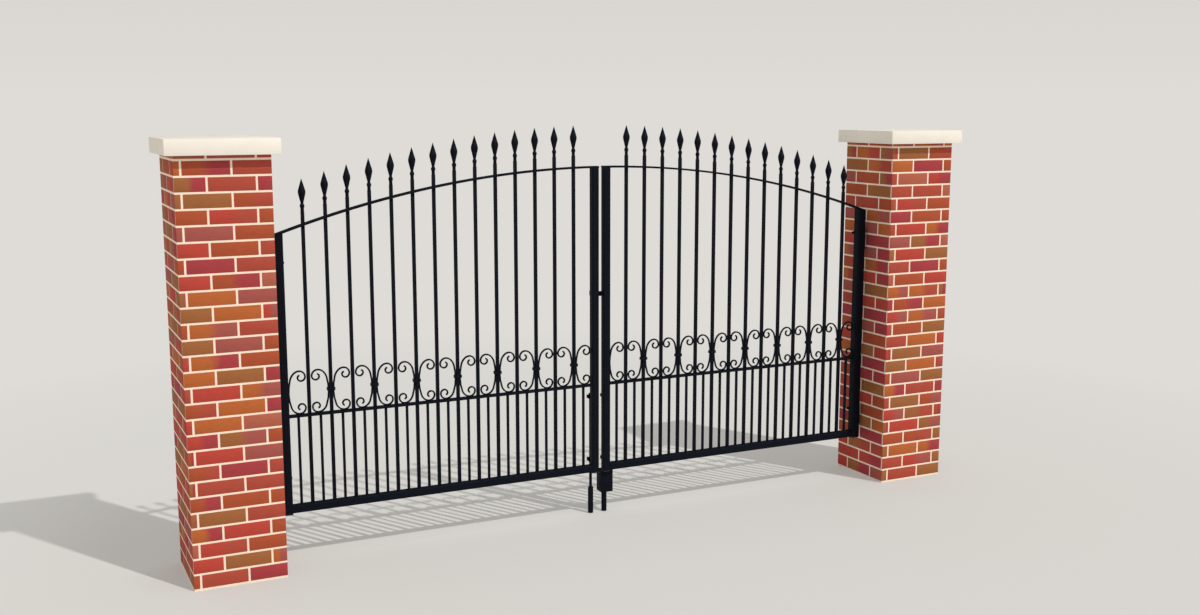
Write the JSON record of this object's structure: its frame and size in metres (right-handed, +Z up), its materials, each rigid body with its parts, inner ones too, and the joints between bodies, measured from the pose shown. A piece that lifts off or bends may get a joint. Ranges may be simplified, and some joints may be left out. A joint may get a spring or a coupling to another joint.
{
  "type": "wrought iron driveway gate",
  "caption": "Double wrought iron driveway gate, arched along the top with spear finials, scrolls and dog bars, hinged between two square brick piers.",
  "frame": {"origin": "centre of the left pier's base, on the ground", "axes": "+X to the right pier, +Y to the rear, the way both leaves open, +Z up"},
  "size_m": [4.56, 0.52, 2.1687],
  "materials": {
    "brick": "fired clay, rough",
    "cap_stone": "cast stone, fine grained",
    "iron": "black satin paint",
    "plug": "matte"
  },
  "bodies": {
    "posts": {"left_pier": "brick", "right_pier": "brick", "left_cap": "cap_stone", "right_cap": "cap_stone", "left_hinge_hooks": "iron", "right_hinge_hooks": "iron"},
    "left_leaf": {"left_hinge_stile": "iron", "left_meeting_stile": "iron", "left_stile_plugs": "plug", "left_bottom_rail": "iron", "left_middle_rail": "iron", "left_top_rail": "iron", "left_bars": "iron", "left_dog_bars": "iron", "left_finials": "iron", "left_scrolls": "iron", "left_collars": "iron", "left_hinge_bands": "iron", "left_bolt_guides": "iron", "latch_tongue": "iron", "lock_case": "iron"},
    "right_leaf": {"right_hinge_stile": "iron", "right_meeting_stile": "iron", "right_stile_plugs": "plug", "right_bottom_rail": "iron", "right_middle_rail": "iron", "right_top_rail": "iron", "right_bars": "iron", "right_dog_bars": "iron", "right_finials": "iron", "right_scrolls": "iron", "right_collars": "iron", "right_hinge_bands": "iron", "right_bolt_guides": "iron", "bolt_box": "iron"},
    "left_drop_bolt": {"left_drop_bolt": "iron"},
    "right_drop_bolt": {"right_drop_bolt": "iron"}
  },
  "joints": [
    {"name": "left_leaf_swing", "type": "hinge", "parent": "posts", "child": "left_leaf", "pos_m": [0.235, 0.035, 0.4], "axis": [0, 0, 1], "range_deg": [0, 90]},
    {"name": "right_leaf_swing", "type": "hinge", "parent": "posts", "child": "right_leaf", "pos_m": [3.805, 0.035, 0.4], "axis": [0, 0, -1], "range_deg": [0, 90]},
    {"name": "left_drop_bolt_lift", "type": "slide", "parent": "left_leaf", "child": "left_drop_bolt", "axis": [0, 0, 1], "range_m": [0, 0.14]},
    {"name": "right_drop_bolt_lift", "type": "slide", "parent": "right_leaf", "child": "right_drop_bolt", "axis": [0, 0, 1], "range_m": [0, 0.14]}
  ]
}
